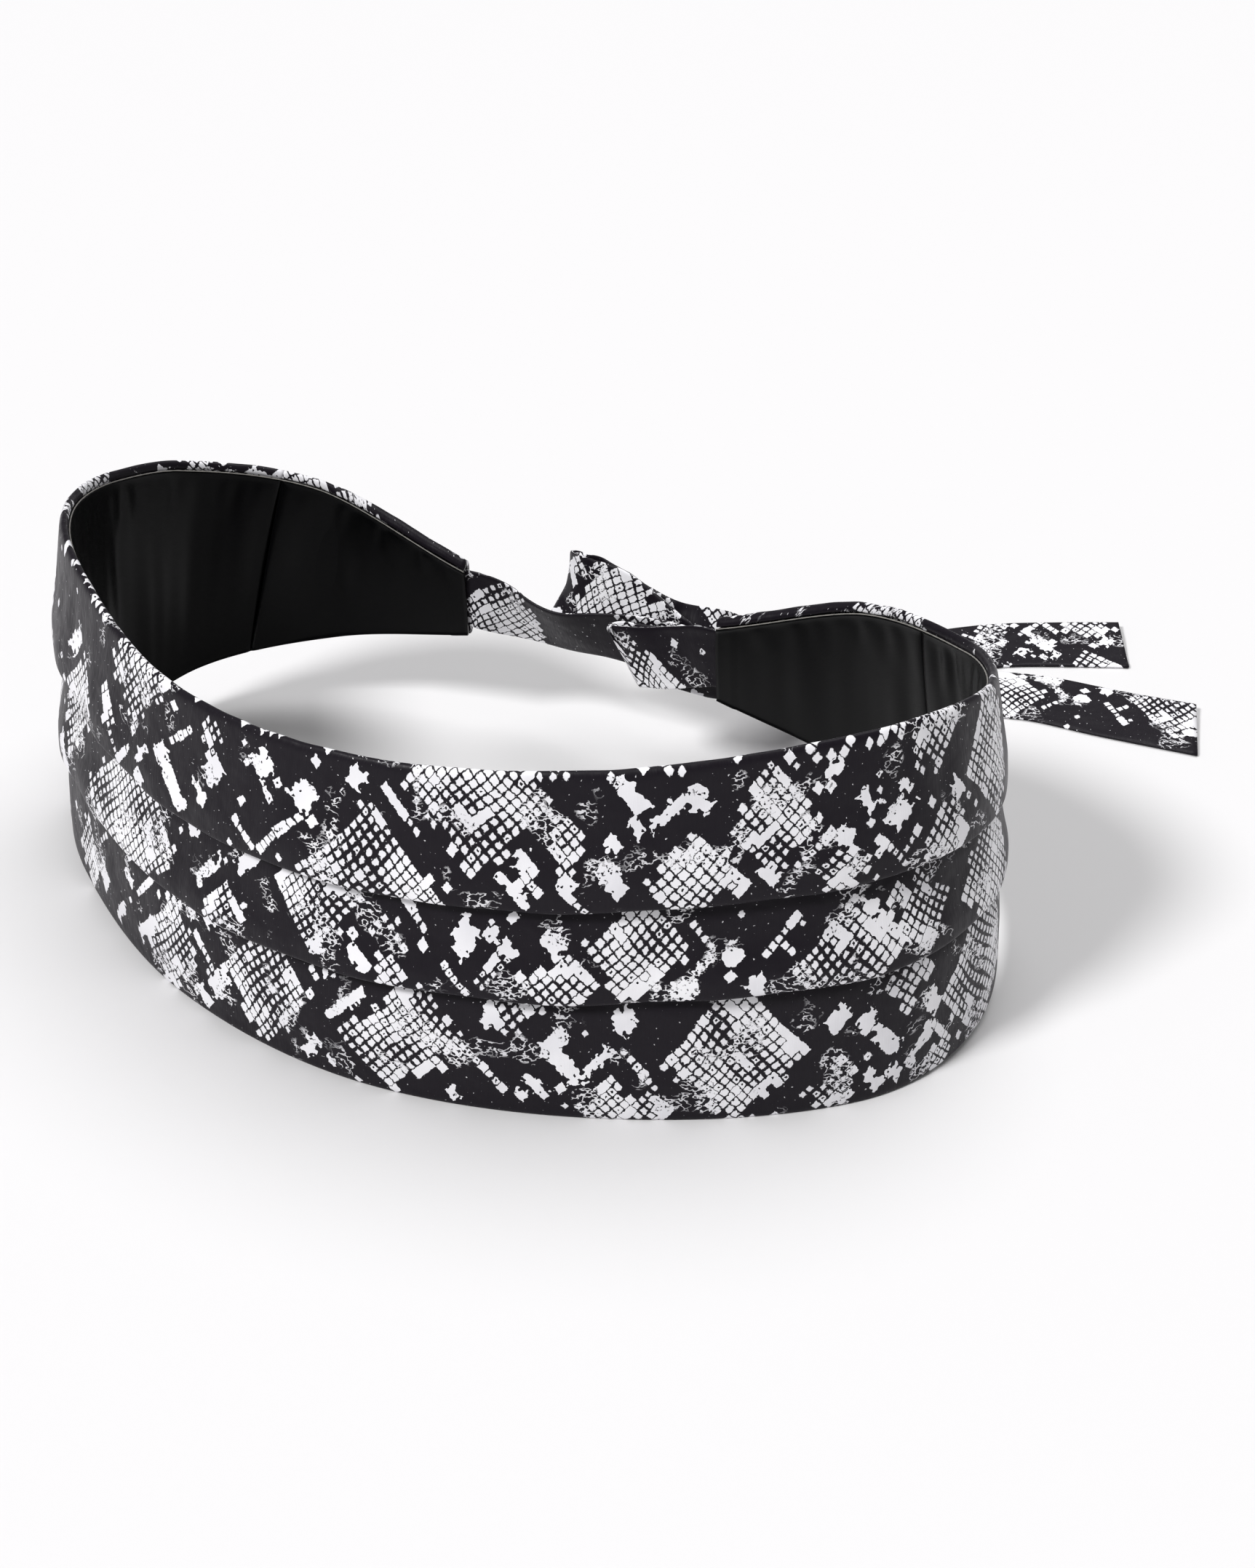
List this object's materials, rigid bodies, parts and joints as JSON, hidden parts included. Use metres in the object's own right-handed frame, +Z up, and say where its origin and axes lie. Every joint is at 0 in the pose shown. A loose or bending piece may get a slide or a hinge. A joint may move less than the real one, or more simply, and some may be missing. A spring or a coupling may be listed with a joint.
{
  "type": "pleated cummerbund with tie closure",
  "caption": "Pleated waist sash standing on its hem, tapering to back panels and tied at the back with a half bow.",
  "frame": {"origin": "front centre of the bottom hem, on the surface it stands on", "axes": "+Z up, -Y towards the front, +X to the right seen from the front"},
  "size_m": [0.3547, 0.3718, 0.1214],
  "materials": {
    "print_satin": "black and white snakeskin print on satin",
    "lining_satin": "black satin"
  },
  "bodies": {
    "root": {"pleat_top": "print_satin", "pleat_middle": "print_satin", "pleat_bottom": "print_satin", "back_panel_left": "print_satin", "back_panel_right": "print_satin", "lining_front": "lining_satin", "lining_left": "lining_satin", "lining_right": "lining_satin", "tie_left": "print_satin", "tie_right": "print_satin"}
  },
  "joints": []
}
